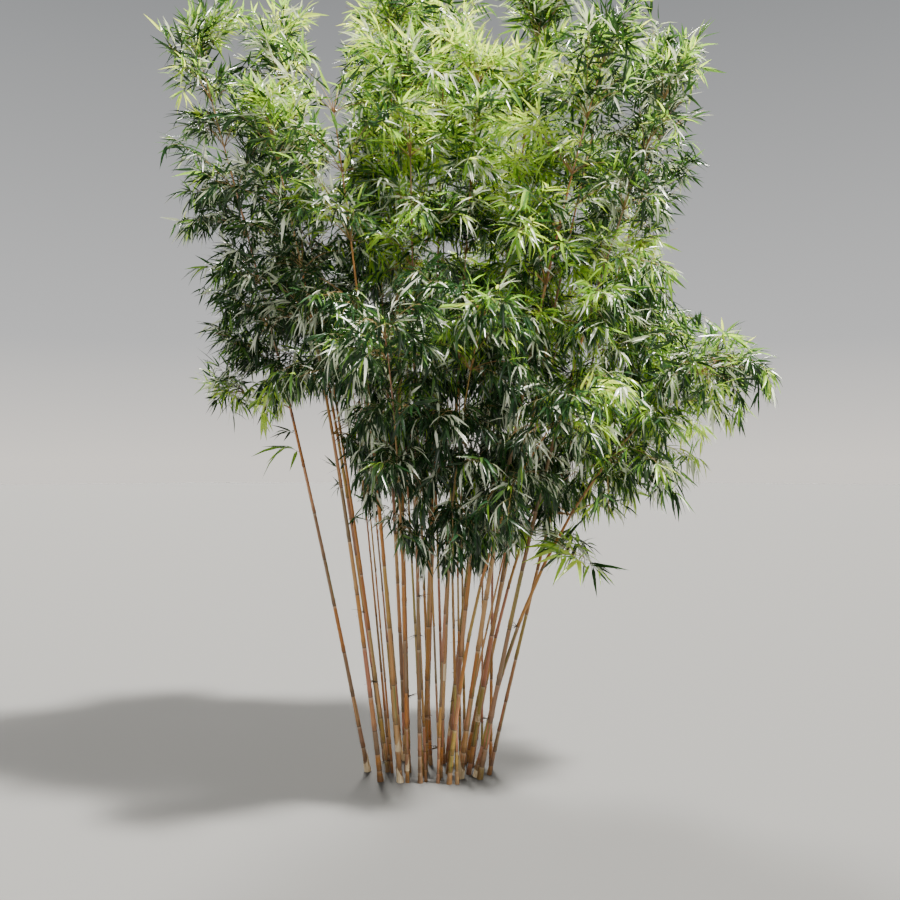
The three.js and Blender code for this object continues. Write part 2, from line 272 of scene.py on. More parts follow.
# Small leafy sprigs at the bare joints: the height that they start from, their chance at each joint, their
# growth, and their leaves, of which larger ones have more. Then the larger ones, as cane, height, heading,
# length and size of leaf.
SPRIG_FOOT = 1.15
SPRIG_CHANCE = 0.3
SPRIG_LENGTH = (0.04, 0.1)
SPRIG_CLIMB = (10, 50)
SPRIG_DROOP = 30
SPRIG_HANG = 0.15
SPRIG_LEAF_SIZE = 0.9
LEAVES_A_SPRIG = (3, 6)
LEAVES_BY_SIZE = 3
LARGE_SPRIGS = [
    ("middle_1", 1.57, 188, 0.1, 1.7), ("middle_1", 1.66, 150, 0.08, 1.2), ("back_1", 1.45, 200, 0.07, 1),
]

# How pale the greens are, from 0 to 1, and the parts where painted sun and painted shade make them paler or
# deeper: the place from left to right as the camera sees it, the height, how far that part reaches, and how
# much paler or deeper it is. Sprays at a branch's tip are paler, partly as young leaves are and partly as
# painted shade on the inner sprays. The tones drift from patch to patch, so many to a metre, partly as the
# leaves' own tones and partly as painted dappled sun and shade, and a little by spray and by leaf.
MIDDLE_TONE = 0.34
SUN_AND_SHADE_PARTS = [
    (0.35, 3.1, 0.65, 0.3), (0.9, 1.95, 0.5, 0.18), (0.05, 1.4, 0.8, -0.54), (-1.0, 2.5, 0.75, -0.52),
    (1.2, 3.1, 0.5, -0.44), (0.73, 1.04, 0.2, 0.55), (-0.84, 1.8, 0.25, 0.4),
]
TIP_YOUTH_AND_SHADE = 0.3
PATCHES = 3.4
PATCH_TONE_AND_DAPPLE = 0.8
TONE_SCATTER = 0.2
LEAF_TONE_SCATTER = 0.22

# Few leaves show their pale undersides, but many do in a share of the sprays. The undersides are whitened
# as painted glints.
UNDERSIDE_GLINT_CHANCE = 0.04
TURNED_GLINT_SPRAYS = 0.24
TURNED_GLINT_CHANCE = 0.48

# The greens, from deep to pale, with the underside last, whitened as a painted glint: name, colour, the
# yellower colour of light that comes through, the share of that, and gloss. The deep and pale greens are
# dealt out partly as painted shade and painted sun.
LEAF_ROUGHNESS = 0.25
GREENS = [
    ("leaf_deep", (0.006, 0.024, 0.006), (0.05, 0.15, 0.018), 0.14, 0.4),
    ("leaf_blue_green", (0.011, 0.04, 0.014), (0.09, 0.24, 0.035), 0.22, 0.65),
    ("leaf_dull", (0.023, 0.067, 0.023), (0.19, 0.4, 0.05), 0.3, 0.9),
    ("leaf_mid", (0.053, 0.136, 0.031), (0.38, 0.69, 0.065), 0.42, 0.95),
    ("leaf_fresh", (0.15, 0.33, 0.034), (0.66, 0.97, 0.08), 0.46, 0.85),
    ("leaf_light", (0.34, 0.59, 0.065), (0.88, 1.0, 0.13), 0.46, 0.85),
    # The underside, whitened as a painted glint
    ("leaf_underside_glint", (0.74, 0.79, 0.64), (0.8, 0.9, 0.5), 0.22, 0.8),
]

# Papery sheaths left on the canes, as cane, the joint that each wraps the cane above, counted from the
# ground, its length, and whether it peels away. Each is as wide as its cane at a rise above the joint.
SHEATHS = [
    ("front_5", 0, 0.15, False), ("front_2", 2, 0.12, False), ("front_2", 0, 0.09, False),
    ("front_4", 4, 0.27, False), ("middle_5", 5, 0.19, True), ("middle_1", 0, 0.14, False),
    ("low_right_1", 0, 0.11, False), ("back_2", 0, 0.12, False), ("middle_6", 3, 0.14, True),
    ("low_back_1", 0, 0.11, False), ("back_4", 2, 0.12, True), ("low_front_1", 1, 0.1, False),
]
SHEATH_SIDES = 16
SHEATH_THICKNESS = 0.0004
SHEATH_RISE = 0.012

# The rings of a sheath a metre long, as height and share of the cane's radius. Then, for one that clasps
# its cane and one that peels: the slit, where its faces point back by that much or more, and how far it
# leans off.
SHEATH_RINGS = [(0, 1.3), (0.05, 1.3), (0.2, 1.22), (0.4, 1.16), (0.7, 1.13), (1.0, 1.12)]
CLASPING = dict(slit=-0.95, lean=0.16)
PEELING = dict(slit=-0.2, lean=3.2)

# Buds sit at the bare joints, left and right by turns. At some joints dead branches are left as stubs. The
# seat of either is a share of the cane's radius, and its rise is the height above the joint.
BUD_LENGTH = 0.011
BUD_SCATTER = (0.8, 1.3)
BUD_TURN_SCATTER = 0.3
BUD_SEAT = 1.04
BUD_RISE = 0.004
STUB_CHANCE = 0.07
STUBS_A_JOINT = (6, 11)
STUB_LENGTH = (0.015, 0.065)
STUB_RADIUS = 0.0012
STUB_TAPER = (1.3, 1.0, 0.5)
STUB_SEAT = 0.8
STUB_RISE = 0.003
STUB_SPREAD = 1.1
STUB_CLIMB = (-0.25, 0.6)
STUB_SAG = 0.15

# The camera: its place, how many degrees it looks up, and its lens, for the photograph's square frame
CAMERA_PLACE = (0.12, -4.55, 1.5)
CAMERA_PITCH = 0.6
CAMERA_LENS = 37.7

# The floor, and the backdrop's colours where it meets the floor, just above, and high up, each with the
# upward part of the way that it is seen in
FLOOR_RADIUS = 60
FLOOR_COLOUR = (0.106, 0.1055, 0.1042)
BACKDROP = [(0.0, (1.036, 0.98, 0.905, 1)), (0.12, (0.64, 0.64, 0.64, 1)), (0.5, (0.26, 0.27, 0.28, 1))]

# A high sun on the right, a wide one behind the clump, and a round panel in front. A sun's size is an
# angle in degrees, and the panel's is in metres.
LIGHTS = [
    dict(
        kind="SUN", name="key", place=(3.2, -1.2, 6.2), target=(0, 0, 0),
        size=6, power=19, colour=(1, 0.97, 0.9),
    ),
    dict(
        kind="SUN", name="rim", place=(-1.0, 4.5, 5.5), target=(0, 0, 0),
        size=14, power=6.5, colour=(1, 0.97, 0.9),
    ),
    dict(
        kind="AREA", name="front_fill", place=(-3.2, -6.2, 3.4), target=(0, 0, 1.2),
        size=3, power=100, colour=(1, 0.98, 0.95),
    ),
]


def mix(low, high, share):
    return low + (high - low) * share


def dice(seed):
    """Even draws between 0 and 1, the CAD model's own, always the same ones for a seed."""
    state = seed * 2654435761 % 2**32

    def roll():
        nonlocal state
        state = (state * 1664525 + 1013904223) % 2**32
        return state / 2**32

    return roll


def aim(heading, climb):
    """The unit vector that heads round from +X and climbs from the level, both in degrees."""
    level = math.cos(math.radians(climb))
    turn = math.radians(heading)
    return Vector((level * math.cos(turn), level * math.sin(turn), math.sin(math.radians(climb))))


class Line:
    """A limb's line from root to tip, bent towards a knee, with places given along its length."""

    SAMPLES = 60

    def __init__(self, root, knee, tip):
        self.root, self.knee, self.tip = Vector(root), Vector(knee), Vector(tip)
        shares = np.linspace(0, 1, self.SAMPLES)[:, None]
        ends = [np.array(point) for point in (root, knee, tip)]
        self.points = (1 - shares) ** 2 * ends[0] + 2 * shares * (1 - shares) * ends[1] + shares**2 * ends[2]
        steps = np.linalg.norm(np.diff(self.points, axis=0), axis=1)
        self.along = np.concatenate([[0], np.cumsum(steps)])
        self.length = float(self.along[-1])

    def point(self, at):
        return Vector([float(np.interp(at, self.along, self.points[:, axis])) for axis in range(3)])

    def direction(self, at):
        step = self.length / self.SAMPLES
        start = min(max(at - step / 2, 0), self.length - step)
        return (self.point(start + step) - self.point(start)).normalized()


def branch_line(root, heading, climb, droop, length):
    """A branch's line, which sets off at its climb and droops towards its tip."""
    knee = root + aim(heading, climb) * (length / 2)
    tip = knee + aim(heading, climb - droop) * (length / 2)
    return Line(root, knee, tip)


class Cane:
    """One cane: its line, radius, bare length and joints."""

    def __init__(self, row, row_number, place, number):
        self.row = row["name"]
        self.name = f"{self.row}_{place + 1}"
        self.number = number
        self.bare = row["bare"]
        roll = dice(100 * row_number + place)
        share = place / (row["canes"] - 1)
        (left_foot, right_foot), (left_tip, right_tip) = row["feet"], row["tips"]
        foot_scatter, tip_scatter = row.get("scatter", (FOOT_SCATTER, TIP_SCATTER))

        def stray(size):
            return 0 if self.name == MAIN_CANE else (2 * roll() - 1) * size

        foot = [mix(left_foot[axis], right_foot[axis], share) + stray(foot_scatter) for axis in (0, 1)]
        tip_x = mix(left_tip[0], right_tip[0], share) + stray(tip_scatter)
        tip_y = mix(left_tip[1], right_tip[1], share) + stray(TIP_DEPTH_SCATTER)
        lift = row["rise"] * math.sin(math.pi * share)
        tip_z = mix(left_tip[2], right_tip[2], share) + lift + stray(TIP_SCATTER)
        root, tip = Vector((*foot, 0)), Vector((tip_x, tip_y, tip_z))
        knee = root.lerp(tip, 0.5 - row["arch"])
        knee.z = mix(0, tip_z, 0.5 + row["arch"])
        self.line = Line(root, knee, tip)
        self.length = self.line.length
        self.pace = 1 + (2 * roll() - 1) * INTERNODE_SCATTER
        self.radius = row["radius"] * (1 + stray(RADIUS_SCATTER))
        self.joints = [at * self.pace for at in joints_up_to(self.length / self.pace - JOINTLESS_TIP)]

    def radius_at(self, at):
        flare = np.maximum(0, 1 - np.maximum(at, 0) / FOOT_FLARE_HEIGHT)
        taper = mix(self.radius, TIP_RADIUS, (np.clip(at, 0, self.length) / self.length) ** TAPER)
        return taper * (1 + (FOOT_FLARE - 1) * flare)


def joints_up_to(height):
    """The heights of a cane's joints: close together at the foot, then further apart."""
    joints = []
    at = internode = FIRST_INTERNODE
    while at < height:
        joints.append(at)
        internode = min(internode * INTERNODE_GROWTH, FULL_INTERNODE)
        at += internode
    return joints


def plant_canes():
    canes = []
    for row_number, row in enumerate(ROWS, 1):
        for place in range(row["canes"]):
            canes.append(Cane(row, row_number, place, len(canes) + 1))
    return canes


def keeps_clear(cane, others):
    """Whether a cane passes clear of every other one at each height."""
    for other in others:
        heights = np.arange(0, min(cane.line.tip.z, other.line.tip.z), CLEARANCE_STEP)
        spots = [
            [np.interp(heights, line.points[:, 2], line.points[:, axis]) for axis in (0, 1)]
            for line in (cane.line, other.line)
        ]
        gaps = np.hypot(*np.subtract(*spots))
        if (gaps < CLEARANCE * (cane.radius_at(heights) + other.radius_at(heights))).any():
            return False
    return True


def plant_thin_canes(canes):
    planted = list(canes)
    for place in range(THIN_ROW["canes"]):
        for attempt in range(THIN_TRIES):
            cane = Cane(THIN_ROW, len(ROWS) + 1 + attempt, place, len(planted) + 1)
            if keeps_clear(cane, planted):
                planted.append(cane)
                break
    return planted[len(canes):]


# Materials

def wire(tree, made, inputs):
    """Sets each input of a node to a number or colour, or links it to another node's output."""
    for key, value in inputs.items():
        if isinstance(value, bpy.types.NodeSocket):
            tree.links.new(value, made.inputs[key])
        else:
            made.inputs[key].default_value = value


def node(tree, kind, inputs=None, **settings):
    """Adds a shader node."""
    made = tree.nodes.new(kind)
    for name, value in settings.items():
        setattr(made, name, value)
    wire(tree, made, inputs or {})
    return made


def maths(tree, operation, first, second=0.0, third=0.0):
    """The result of a sum on numbers or outputs."""
    return node(tree, "ShaderNodeMath", {0: first, 1: second, 2: third}, operation=operation).outputs[0]


def blend_colours(tree, share, first, second, mode="MIX"):
    made = node(
        tree, "ShaderNodeMix", {0: share, 6: first, 7: second}, data_type="RGBA", blend_type=mode
    )
    return made.outputs[2]


def ramp(tree, share, stops):
    """Colours at places from 0 to 1, as (place, colour)."""
    made = node(tree, "ShaderNodeValToRGB", {0: share})
    elements = made.color_ramp.elements
    while len(elements) < len(stops):
        elements.new(0.5)
    for element, (place, colour) in zip(elements, stops):
        element.position = place
        element.color = colour
    return made.outputs[0]


def step_up(tree, value, low, high):
    """0 below the low edge, 1 above the high one, smooth between."""
    made = node(
        tree, "ShaderNodeMapRange", {0: value, 1: low, 2: high, 3: 0.0, 4: 1.0},
        interpolation_type="SMOOTHSTEP",
    )
    return made.outputs[0]


def new_material(name):
    material = bpy.data.materials.new(name)
    material.use_nodes = True
    tree = material.node_tree
    return material, tree, tree.nodes["Principled BSDF"]


# The cane's colours: its tints, the stripes, the wax, the scars at its joints, and soil on its foot
GOLD = (0.52, 0.235, 0.045, 1)
AMBER = (0.43, 0.145, 0.02, 1)
SALMON = (0.5, 0.19, 0.1, 1)
STRAW = (0.6, 0.38, 0.15, 1)
OLD = (0.25, 0.16, 0.085, 1)
OLIVE = (0.13, 0.17, 0.025, 1)
GREENISH = (0.33, 0.27, 0.05, 1)
WAX = (0.64, 0.53, 0.36, 1)
SCAR = (0.06, 0.025, 0.009, 1)
SOIL = (0.16, 0.085, 0.04, 1)


def cane_finish():
    """Golden cane: fine fibres, tints that change at each joint, green stripes on some lengths, a dark
    scar at the joint and a pale waxy band below it, and soil stains at the foot."""
    material, tree, surface = new_material("golden_cane")

    def map_places(name):
        """The two numbers that one of the cane's maps gives."""
        place = node(tree, "ShaderNodeUVMap", uv_map=name).outputs[0]
        return node(tree, "ShaderNodeSeparateXYZ", {0: place}).outputs[:2]

    def chances(value):
        """Random numbers between 0 and 1, new at each whole value."""
        whole = maths(tree, "FLOOR", value)
        return node(tree, "ShaderNodeTexWhiteNoise", {"W": whole}, noise_dimensions="1D").outputs

    def fibres(scale, stretch, detail):
        """Noise round the cane, drawn out along it and new at each joint."""
        height = maths(tree, "MULTIPLY_ADD", shift, 40, maths(tree, "MULTIPLY", along, stretch))
        spot = node(tree, "ShaderNodeCombineXYZ", {0: east, 1: north, 2: height}).outputs[0]
        return node(
            tree, "ShaderNodeTexNoise", {"Vector": spot, "Scale": scale, "Detail": detail}
        ).outputs[0]

    def cover(colour, mask, strength, over):
        """A colour with another laid over it where the mask is, at a strength."""
        return blend_colours(tree, maths(tree, "MULTIPLY", mask, strength), colour, over)

    around, along = map_places("cane")
    above, below = map_places("joint")
    angle = maths(tree, "MULTIPLY", around, 2 * math.pi)
    east, north = maths(tree, "COSINE", angle), maths(tree, "SINE", angle)
    tint, striped, shift = node(
        tree, "ShaderNodeSeparateColor", {0: chances(along)["Color"]}
    ).outputs
    fine = fibres(scale=9, stretch=0.09, detail=5)
    broad = fibres(scale=1.7, stretch=0.25, detail=2)
    age = chances(maths(tree, "DIVIDE", along, JOINTS_A_CANE))["Value"]
    tint = maths(tree, "MULTIPLY_ADD", age, 0.55, maths(tree, "MULTIPLY", tint, 0.45))
    colour = ramp(tree, tint, [
        (0.12, OLD), (0.26, SALMON), (0.36, GREENISH), (0.45, GOLD), (0.54, AMBER), (0.64, STRAW),
        (0.73, SALMON), (0.84, OLD),
    ])
    colour = cover(colour, step_up(tree, broad, 0.45, 0.7), 0.5, AMBER)
    streak = step_up(tree, fibres(scale=2.6, stretch=0.05, detail=1), 0.57, 0.6)
    stripe = maths(tree, "MULTIPLY", streak, maths(tree, "GREATER_THAN", striped, 0.5))
    colour = cover(colour, stripe, 0.85, OLIVE)
    shade = maths(tree, "MULTIPLY_ADD", fine, 1.1, 0.35)
    shade = node(tree, "ShaderNodeCombineXYZ", {0: shade, 1: shade, 2: shade}).outputs[0]
    colour = blend_colours(tree, 1.0, colour, shade, "MULTIPLY")
    waxed = maths(tree, "MULTIPLY_ADD", shift, 0.45, 0.02)
    wax = maths(tree, "MULTIPLY", step_up(tree, below, 0.018, 0.003), waxed)
    colour = blend_colours(tree, wax, colour, WAX)
    colour = cover(colour, step_up(tree, above, 0.05, 0.006), 0.45, SCAR)
    scar = step_up(tree, maths(tree, "MINIMUM", above, below), 0.0026, 0.001)
    colour = cover(colour, scar, 0.85, SCAR)
    spot = node(tree, "ShaderNodeTexCoord").outputs["Object"]
    height = node(tree, "ShaderNodeSeparateXYZ", {0: spot}).outputs[2]
    blotch = node(tree, "ShaderNodeTexNoise", {"Vector": spot, "Scale": 40, "Detail": 4}).outputs[0]
    stain = maths(tree, "MULTIPLY_ADD", blotch, -0.22, maths(tree, "ADD", height, 0.06))
    colour = cover(colour, step_up(tree, stain, 0.06, -0.05), 0.8, SOIL)
    rough = maths(tree, "MULTIPLY_ADD", wax, 0.4, maths(tree, "MULTIPLY_ADD", blotch, 0.22, 0.2))
    relief = node(tree, "ShaderNodeBump", {"Height": fine, "Strength": 0.35, "Distance": 0.0006})
    wire(tree, surface, {
        "Base Color": colour, "Roughness": rough, "Normal": relief.outputs[0],
        "Coat Weight": 0.15, "Coat Roughness": 0.25,
    })
    return material


def sheath_finish():
    """Dry papery sheath: straw, with fine darker and browner veins along it."""
    material, tree, surface = new_material("dry_sheath")
    spot = node(tree, "ShaderNodeTexCoord").outputs["Object"]
    drawn = node(tree, "ShaderNodeMapping", {"Vector": spot, "Scale": (260, 260, 9)}).outputs[0]
    veins = node(tree, "ShaderNodeTexNoise", {"Vector": drawn, "Scale": 1, "Detail": 4}).outputs[0]
    colour = ramp(
        tree, veins,
        [(0.3, (0.42, 0.27, 0.13, 1)), (0.48, (0.72, 0.56, 0.33, 1)), (0.7, (0.83, 0.71, 0.5, 1))],
    )
    relief = node(tree, "ShaderNodeBump", {"Height": veins, "Strength": 0.4, "Distance": 0.0004})
    wire(tree, surface, {"Base Color": colour, "Roughness": 0.62, "Normal": relief.outputs[0]})
    return material


def plain_finish(name, colour, roughness):
    """An even colour, for the fine parts that many copies are joined from."""
    material, tree, surface = new_material(name)
    wire(tree, surface, {"Base Color": (*colour, 1), "Roughness": roughness})
    return material


def leaf_finish(name, colour, glow, share, gloss):
    """A thin leaf: its own colour, the yellower one that light through it takes, the share of that, and
    how glossy it is."""
    material, tree, surface = new_material(name)
    wire(tree, surface, {
        "Base Color": (*colour, 1), "Roughness": LEAF_ROUGHNESS, "Specular IOR Level": gloss,
    })
    through = node(tree, "ShaderNodeBsdfTranslucent", {"Color": (*glow, 1)})
    both = node(tree, "ShaderNodeMixShader", {0: share, 1: surface.outputs[0], 2: through.outputs[0]})
    wire(tree, tree.nodes["Material Output"], {0: both.outputs[0]})
    return material


# Modelling helpers

def edit(action="SELECT"):
    """Goes into edit mode and selects all or nothing there, or leaves the selection as it is."""
    bpy.ops.object.mode_set(mode="EDIT")
    if action:
        bpy.ops.mesh.select_all(action=action)


def leave_edit():
    bpy.ops.object.mode_set(mode="OBJECT")


def pull_up(rings):
    """Pulls the selected ring up through rings, each a height and a radius. The first is the ring itself."""
    height, swell = rings[0]
    for ring_height, share in rings[1:]:
        bpy.ops.mesh.extrude_region_move(
            TRANSFORM_OT_translate={"value": (0, 0, ring_height - height)}
        )
        if share != swell:
            bpy.ops.transform.resize(
                value=(share / swell, share / swell, 1), center_override=(0, 0, ring_height)
            )
        height, swell = ring_height, share


def turn_outwards():
    """Points all faces outwards, and leaves edit mode."""
    bpy.ops.mesh.select_all(action="SELECT")
    bpy.ops.mesh.normals_make_consistent(inside=False)
    leave_edit()


def cut_off(obj, place, way):
    """Cuts off all that lies past a plane, and closes the cut."""
    pick(obj)
    edit()
    bpy.ops.mesh.bisect(plane_co=place, plane_no=way, use_fill=True, clear_outer=True)
    leave_edit()


def pick(obj):
    """Makes one object the only selected and active one."""
    bpy.ops.object.select_all(action="DESELECT")
    obj.select_set(True)
    bpy.context.view_layer.objects.active = obj


def apply_all(obj):
    """Applies every modifier of an object."""
    pick(obj)
    for modifier in list(obj.modifiers):
        bpy.ops.object.modifier_apply(modifier=modifier.name)


def points_of(mesh):
    flat = np.empty(len(mesh.vertices) * 3, np.float32)
    mesh.vertices.foreach_get("co", flat)
    return flat.reshape(-1, 3).astype(float)


def set_points(mesh, points):
    mesh.vertices.foreach_set("co", np.asarray(points, np.float32).ravel())
    mesh.update()


def set_on_ground(mesh):
    """Lifts the points that lie below the ground up to it."""
    points = points_of(mesh)
    points[:, 2] = np.maximum(points[:, 2], 0)
    set_points(mesh, points)


def add_object(name, mesh):
    obj = bpy.data.objects.new(name, mesh)
    bpy.context.scene.collection.objects.link(obj)
    return obj


def seat(obj, slot, *nodes):
    """Hands a finished piece to the frame, on the clump's one body."""
    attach(obj, "root")
    if nodes:
        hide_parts(*nodes)


# Canes

def master_rings():
    """The height and share of radius of each ring of the master cane, from below the ground up."""
    rings = [(-SUNK, 1.0)]
    for joint in joints_up_to(MASTER_LENGTH):
        rings += [(joint + rise, share) for rise, share in JOINT_PROFILE]
    return rings + [(MASTER_LENGTH, 1.0)]


def model_master_cane():
    """One long straight cane, a metre thick, pulled up joint by joint from a disc below the ground."""
    bpy.ops.mesh.primitive_circle_add(
        vertices=CANE_SIDES, radius=1, fill_type="NGON", location=(0, 0, -SUNK)
    )
    master = bpy.context.object
    edit()
    pull_up(master_rings())
    turn_outwards()
    map_cane(master.data)
    return master


def map_cane(mesh):
    """Two maps on the straight cane. On the first, U goes once round it and V counts its joints. On the
    second, U is the height above the joint below and V the depth under the joint above."""
    joints = np.array([-1.0] + joints_up_to(MASTER_LENGTH) + [MASTER_LENGTH + 1])
    points = points_of(mesh)
    spots, counts = [], []
    for face in mesh.polygons:
        corners = points[list(face.vertices)]
        middle = corners.mean(0)
        below = int(np.searchsorted(joints, middle[2])) - 1
        turn = np.arctan2(corners[:, 1], corners[:, 0]) / (2 * math.pi)
        turn += np.round(math.atan2(middle[1], middle[0]) / (2 * math.pi) - turn)
        rise = (corners[:, 2] - joints[below]) / (joints[below + 1] - joints[below])
        spots.append(np.stack([turn, below + np.clip(rise, 0.001, 0.999)], 1))
        counts.append(np.stack([corners[:, 2] - joints[below], joints[below + 1] - corners[:, 2]], 1))
    for name, values in (("cane", spots), ("joint", counts)):
        layer = mesh.uv_layers.new(name=name)
        layer.data.foreach_set("uv", np.concatenate(values).astype(np.float32).ravel())


def number_cane(mesh, number, pace):
    """Lifts the first map by many joints for each cane, so that no two canes take the same tints, and
    stretches the second to the cane's own pace."""
    flat = np.empty(len(mesh.loops) * 2, np.float32)
    mesh.uv_layers["cane"].data.foreach_get("uv", flat)
    flat[1::2] += JOINTS_A_CANE * number
    mesh.uv_layers["cane"].data.foreach_set("uv", flat)
    mesh.uv_layers["joint"].data.foreach_get("uv", flat)
    mesh.uv_layers["joint"].data.foreach_set("uv", flat * pace)


def bent_line(cane):
    """A curve along the cane's line, for the Curve modifier."""
    bpy.ops.curve.primitive_bezier_curve_add()
    curve = bpy.context.object
    curve.data.resolution_u = 48
    curve.data.twist_mode = "MINIMUM"
    first, last = curve.data.splines[0].bezier_points
    root, knee, tip = cane.line.root, cane.line.knee, cane.line.tip
    first.co, last.co = root, tip
    for point in (first, last):
        point.handle_left_type = point.handle_right_type = "FREE"
    first.handle_right = root.lerp(knee, 2 / 3)
    first.handle_left = root.lerp(knee, -2 / 3)
    last.handle_left = tip.lerp(knee, 2 / 3)
    last.handle_right = tip.lerp(knee, -2 / 3)
    return curve


def model_cane(master, cane, finish, *nodes):
    """A copy of the master, stretched to the cane's pace, cut to its length, tapered, bent along its line,
    and cut flat where it meets the ground."""
    obj = add_object(f"culm_{cane.name}", master.data.copy())
    number_cane(obj.data, cane.number, cane.pace)
    points = points_of(obj.data)
    points[:, 2] *= np.where(points[:, 2] > 0, cane.pace, 1)
    set_points(obj.data, points)
    cut_off(obj, (0, 0, cane.length), (0, 0, 1))
    points = points_of(obj.data)
    points[:, :2] *= cane.radius_at(points[:, 2])[:, None]
    set_points(obj.data, points)
    curve = bent_line(cane)
    modifier = obj.modifiers.new("bend", "CURVE")
    modifier.object = curve
    modifier.deform_axis = "POS_Z"
    apply_all(obj)
    bpy.data.objects.remove(curve)
    cut_off(obj, (0, 0, 0), (0, 0, -1))
    set_on_ground(obj.data)
    bpy.ops.object.shade_smooth_by_angle(angle=math.radians(50))
    obj.data.materials.append(finish)
    seat(obj, "cane", *nodes)


# Sheaths

def model_sheath(slit, lean):
    """One papery sheath, a metre long round a cane a metre thick: rings pulled up from an open circle, slit
    down one side, wide at the foot and slanting up to a point that leans off its cane."""
    foot_radius = SHEATH_RINGS[0][1]
    bpy.ops.mesh.primitive_circle_add(vertices=SHEATH_SIDES, radius=foot_radius, fill_type="NOTHING")
    sheath = bpy.context.object
    edit()
    pull_up(SHEATH_RINGS)
    bpy.ops.mesh.select_all(action="DESELECT")
    leave_edit()
    for face in sheath.data.polygons:
        face.select = face.normal.x < slit
    edit(action=None)
    bpy.ops.mesh.delete(type="FACE")
    turn_outwards()
    points = points_of(sheath.data)
    front = (1 + points[:, 0] / np.hypot(points[:, 0], points[:, 1])) / 2
    points[:, 2] *= mix(0.3, 1, front**2.5)
    points[:, 0] += lean * points[:, 2] ** 3
    set_points(sheath.data, points)
    return sheath


def model_sheaths(by_name, finish):
    """Copies of the two sheaths, each set round its cane above its own joint, joined into one piece."""
    masters = [model_sheath(**CLASPING), model_sheath(**PEELING)]
    roll = random.Random(7)
    copies = []
    for name, joint, length, peels in SHEATHS:
        cane = by_name[name]
        at = [0, *cane.joints][joint]
        copy = add_object("sheath", masters[peels].data.copy())
        radius = float(cane.radius_at(at + SHEATH_RISE))
        along = cane.line.direction(at + length / 2).to_track_quat("Z", "Y").to_matrix().to_4x4()
        place = Matrix.Translation(cane.line.point(at)) @ along
        place = place @ Matrix.Rotation(roll.uniform(0, 2 * math.pi), 4, "Z")
        copy.data.transform(place @ Matrix.Diagonal((radius, radius, length, 1)))
        copies.append(copy)
    for master in masters:
        bpy.data.objects.remove(master)
    pick(copies[0])
    for copy in copies:
        copy.select_set(True)
    bpy.ops.object.join()
    sheaths = bpy.context.object
    sheaths.name = "papery_sheaths"
    wall = sheaths.modifiers.new("wall", "SOLIDIFY")
    wall.thickness = SHEATH_THICKNESS
    wall.offset = 1
    smooth = sheaths.modifiers.new("smooth", "SUBSURF")
    smooth.levels = smooth.render_levels = 1
    apply_all(sheaths)
    set_on_ground(sheaths.data)
    bpy.ops.object.shade_smooth_by_angle(angle=math.radians(60))
    sheaths.data.materials.append(finish)
    seat(sheaths, "cane")


# Fine parts, joined from arrays

def joined_mesh(name, points, faces, materials, slots=None):
    """One mesh from arrays of points, triangles and, for more than one material, their numbers."""
    mesh = bpy.data.meshes.new(name)
    mesh.vertices.add(len(points))
    mesh.vertices.foreach_set("co", np.asarray(points, np.float32).ravel())
    mesh.loops.add(faces.size)
    mesh.loops.foreach_set("vertex_index", faces.astype(np.int32).ravel())
    mesh.polygons.add(len(faces))
    mesh.polygons.foreach_set("loop_start", np.arange(0, faces.size, 3, dtype=np.int32))
    if slots is not None:
        mesh.polygons.foreach_set("material_index", slots.astype(np.int32))
    for material in materials:
        mesh.materials.append(material)
    mesh.update(calc_edges=True)
    mesh.validate()
    mesh.shade_smooth()
    return add_object(name, mesh)


def taken_arrays(obj):
    """The points and faces of an object, which is then removed."""
    points = points_of(obj.data)
    faces = np.array([list(face.vertices) for face in obj.data.polygons])
    bpy.data.objects.remove(obj)
    return points, faces


def tubes(lines, radii, sides):
    """Closed round limbs along lines of as many points each: their points, their triangles, and how many
    triangles each has."""
    lines, radii = np.asarray(lines, float), np.asarray(radii, float)
    count, steps, _ = lines.shape
    along = np.gradient(lines, axis=1)
    along /= np.linalg.norm(along, axis=2, keepdims=True)
    helper = np.where(np.abs(along[:, :1, 2:]) > 0.9, [1.0, 0, 0], [0, 0, 1.0])
    across = np.cross(along, helper)
    across /= np.linalg.norm(across, axis=2, keepdims=True)
    upward = np.cross(across, along)
    turns = np.arange(sides) * 2 * math.pi / sides
    ring = (
        across[:, :, None] * np.cos(turns)[:, None] + upward[:, :, None] * np.sin(turns)[:, None]
    )
    points = lines[:, :, None] + ring * radii[:, :, None, None]
    near = np.arange(sides)
    far = (near + 1) % sides
    wall = [
        np.concatenate([
            np.stack([step * sides + near, step * sides + far, (step + 1) * sides + far], 1),
            np.stack([step * sides + near, (step + 1) * sides + far, (step + 1) * sides + near], 1),
        ])
        for step in range(steps - 1)
    ]
    fan = np.stack([np.zeros(sides - 2, int), np.arange(1, sides - 1), np.arange(2, sides)], 1)
    shape = np.concatenate([*wall, fan[:, ::-1], fan + (steps - 1) * sides])
    faces = shape[None] + (np.arange(count) * steps * sides)[:, None, None]
    return points.reshape(-1, 3), faces.reshape(-1, 3), len(shape)


